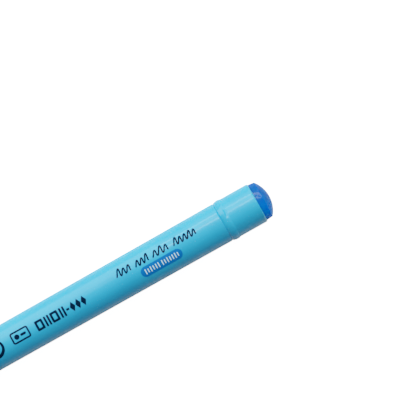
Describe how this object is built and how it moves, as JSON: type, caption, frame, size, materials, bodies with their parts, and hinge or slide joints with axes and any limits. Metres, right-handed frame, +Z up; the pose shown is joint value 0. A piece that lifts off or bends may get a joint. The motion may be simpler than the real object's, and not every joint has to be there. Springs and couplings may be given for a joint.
{
  "type": "gel pen",
  "caption": "Capped gel pen with a round tapered barrel, a clip, a threaded grip section, a refill and a domed friction eraser behind a posting bead.",
  "frame": {"origin": "centre of the cap crown's flat face, on the pen's axis", "axes": "+X along the pen from the crown to the eraser, +Z up with the printed side up, +Y away from the clip; the pen lies on a table as capped pens do, on its cap rim, its clip and its tail bead"},
  "size_m": [0.15, 0.0139, 0.0125],
  "materials": {
    "barrel_blue": "polished injection-moulded plastic",
    "clip_blue": "polished, slightly translucent plastic",
    "eraser_blue": "smooth translucent hard elastomer",
    "grip_rubber": "matt moulded rubber",
    "natural_plastic": "natural moulded plastic",
    "clear_tube": "clear extruded tube",
    "ink": "wet gel",
    "follower_gel": "clear grease",
    "point_steel": "turned stainless steel",
    "ball_carbide": "polished carbide"
  },
  "bodies": {
    "barrel": {"barrel": "barrel_blue", "tail_sleeve": "barrel_blue", "eraser": "eraser_blue"},
    "refill": {"refill_tube": "clear_tube", "refill_plug": "natural_plastic", "ink": "ink", "tip_holder": "natural_plastic", "writing_point": "point_steel", "ball_spring": "point_steel"},
    "follower": {"ink_follower": "follower_gel"},
    "ball": {"ball": "ball_carbide"},
    "section": {"section_core": "barrel_blue", "grip_sleeve": "grip_rubber", "nose_cone": "barrel_blue"},
    "cap": {"cap_shell": "barrel_blue", "cap_liner": "natural_plastic", "cap_crown": "clip_blue"},
    "clip": {"clip": "clip_blue"}
  },
  "joints": [
    {"name": "section_advance", "type": "slide", "parent": "barrel", "child": "refill", "axis": [-1, 0, 0], "range_m": [0, 0.0065]},
    {"name": "section_unscrew", "type": "hinge", "parent": "refill", "child": "section", "pos_m": [0.06, 0, 0], "axis": [-1, 0, 0], "range_deg": [0, 1800]},
    {"name": "cap_pull", "type": "slide", "parent": "section", "child": "cap", "axis": [-1, 0, 0], "range_m": [0, 0.06]},
    {"name": "clip_flex", "type": "hinge", "parent": "cap", "child": "clip", "pos_m": [0.0032, -0.00674, -0.00492], "axis": [0, 0.5899, -0.8075], "range_deg": [0, 5], "stiffness_Nm_per_rad": 1},
    {"name": "ball_roll", "type": "hinge", "parent": "refill", "child": "ball", "pos_m": [0.00985, 0, 0], "axis": [0, 1, 0], "continuous": true},
    {"name": "follower_travel", "type": "slide", "parent": "refill", "child": "follower", "axis": [-1, 0, 0], "range_m": [0, 0.055], "deforming": ["ink"]}
  ],
  "couplings": [
    {"joint": "section_advance", "follows": "section_unscrew", "m_per_rad": 0.00019894}
  ]
}
